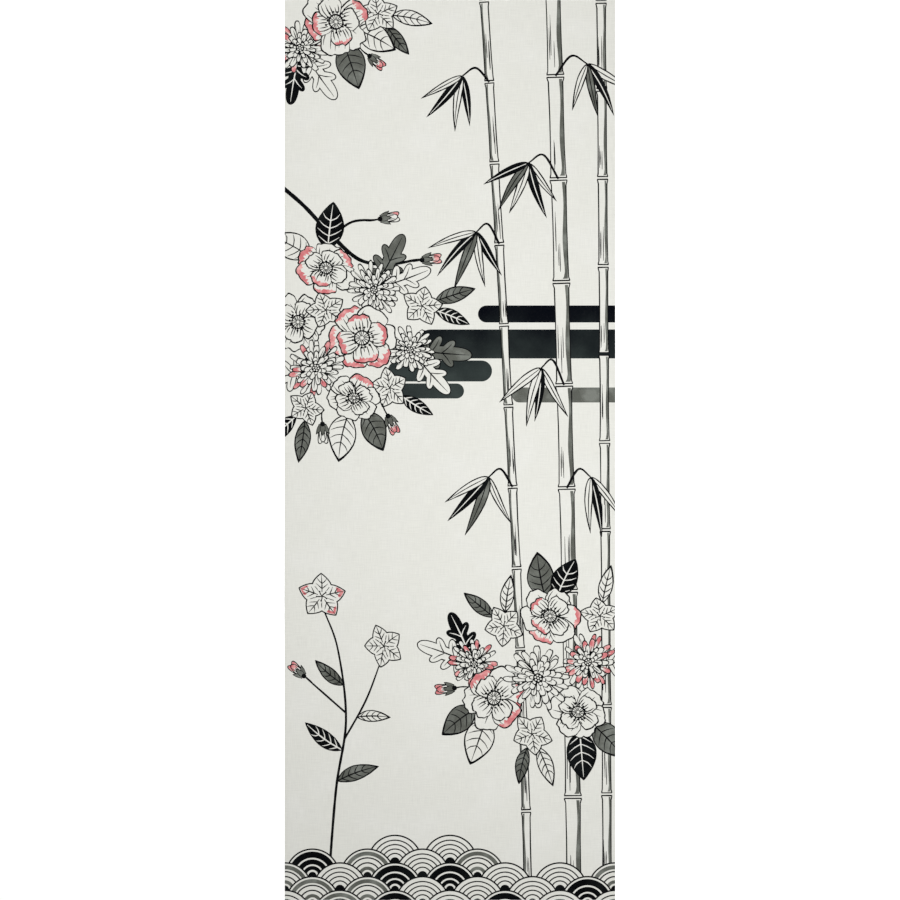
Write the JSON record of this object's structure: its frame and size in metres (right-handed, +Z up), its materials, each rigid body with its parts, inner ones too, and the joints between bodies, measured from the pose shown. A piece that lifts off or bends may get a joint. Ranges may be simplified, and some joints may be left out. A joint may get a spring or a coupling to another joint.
{
  "type": "tenugui towel",
  "caption": "Thin rectangular cotton tenugui hand towel laid flat, with woven selvedges on its long sides and cut ends without a hem.",
  "frame": {"origin": "on the underside, below the middle of the cloth, on the surface that it lies on", "axes": "+X across the cloth from selvedge to selvedge, +Y along its length to the end that is the top of the design, +Z up out of the dyed face"},
  "size_m": [0.33, 0.9, 0.0023],
  "materials": {
    "cotton": "matt plain weave, off-white with black, grey and coral dye"
  },
  "bodies": {
    "root": {"cloth": "cotton"}
  },
  "joints": []
}
